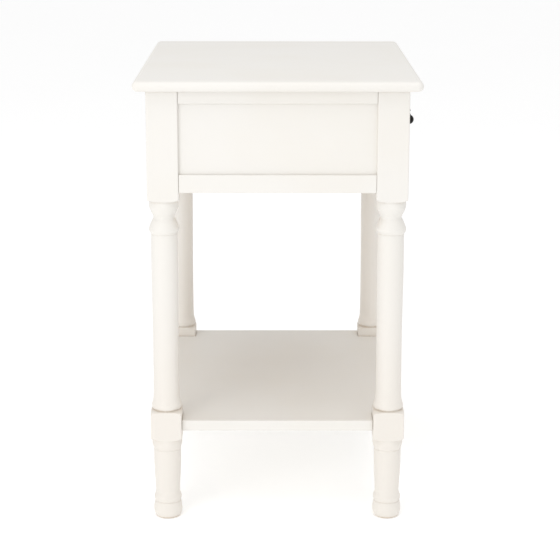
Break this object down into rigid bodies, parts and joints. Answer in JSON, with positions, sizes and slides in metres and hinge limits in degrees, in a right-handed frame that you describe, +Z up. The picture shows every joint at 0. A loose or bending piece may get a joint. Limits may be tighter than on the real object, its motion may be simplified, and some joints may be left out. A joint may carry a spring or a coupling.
{
  "type": "side table with drawer",
  "caption": "Small side table on turned legs with framed apron, one drawer with a drop pull, and a lower shelf.",
  "frame": {"origin": "centre of the whole table's footprint on the floor, the pull's reach past the top's front edge included", "axes": "+X to the right as seen from the drawer, +Y from the drawer to the back, +Z up"},
  "size_m": [0.5, 0.393, 0.62],
  "materials": {
    "cream_paint": "satin cream paint, lightly worn at edges",
    "bare_wood": "clear-sealed softwood and plywood",
    "dowel_wood": "bare beech",
    "dark_metal": "dark bronze, gloss lacquer",
    "steel": "zinc-plated"
  },
  "bodies": {
    "frame": {"back_panel": "cream_paint", "back_rail_bottom": "cream_paint", "back_rail_top": "cream_paint", "drawer_kicker_left": "bare_wood", "drawer_kicker_right": "bare_wood", "drawer_runner_left": "bare_wood", "drawer_runner_right": "bare_wood", "drawer_stop_left": "bare_wood", "drawer_stop_right": "bare_wood", "front_rail_bottom": "cream_paint", "front_rail_top": "cream_paint", "leg_back_left": "cream_paint", "leg_back_right": "cream_paint", "leg_front_left": "cream_paint", "leg_front_right": "cream_paint", "lower_shelf": "cream_paint", "runner_screw_back_left": "steel", "runner_screw_back_right": "steel", "runner_screw_front_left": "steel", "runner_screw_front_right": "steel", "shelf_dowel_back_left": "dowel_wood", "shelf_dowel_back_right": "dowel_wood", "shelf_dowel_front_left": "dowel_wood", "shelf_dowel_front_right": "dowel_wood", "side_panel_left": "cream_paint", "side_panel_right": "cream_paint", "side_rail_bottom_left": "cream_paint", "side_rail_bottom_right": "cream_paint", "side_rail_top_left": "cream_paint", "side_rail_top_right": "cream_paint", "table_top": "cream_paint", "top_screw_back_left": "steel", "top_screw_back_right": "steel", "top_screw_front_left": "steel", "top_screw_front_right": "steel"},
    "drawer": {"drawer_back": "bare_wood", "drawer_bottom": "bare_wood", "drawer_front": "cream_paint", "drawer_side_left": "bare_wood", "drawer_side_right": "bare_wood", "pull_nut": "steel", "pull_pin": "dark_metal", "pull_post": "dark_metal", "pull_rosette": "dark_metal", "pull_washer": "steel"},
    "pendant": {"pull_pendant": "dark_metal"}
  },
  "joints": [
    {"name": "drawer_slide", "type": "slide", "parent": "frame", "child": "drawer", "axis": [0, -1, 0], "range_m": [0, 0.24]},
    {"name": "pull_swing", "type": "hinge", "parent": "drawer", "child": "pendant", "pos_m": [0, -0.1895, 0.546], "axis": [-1, 0, 0], "range_deg": [-30, 80]}
  ]
}
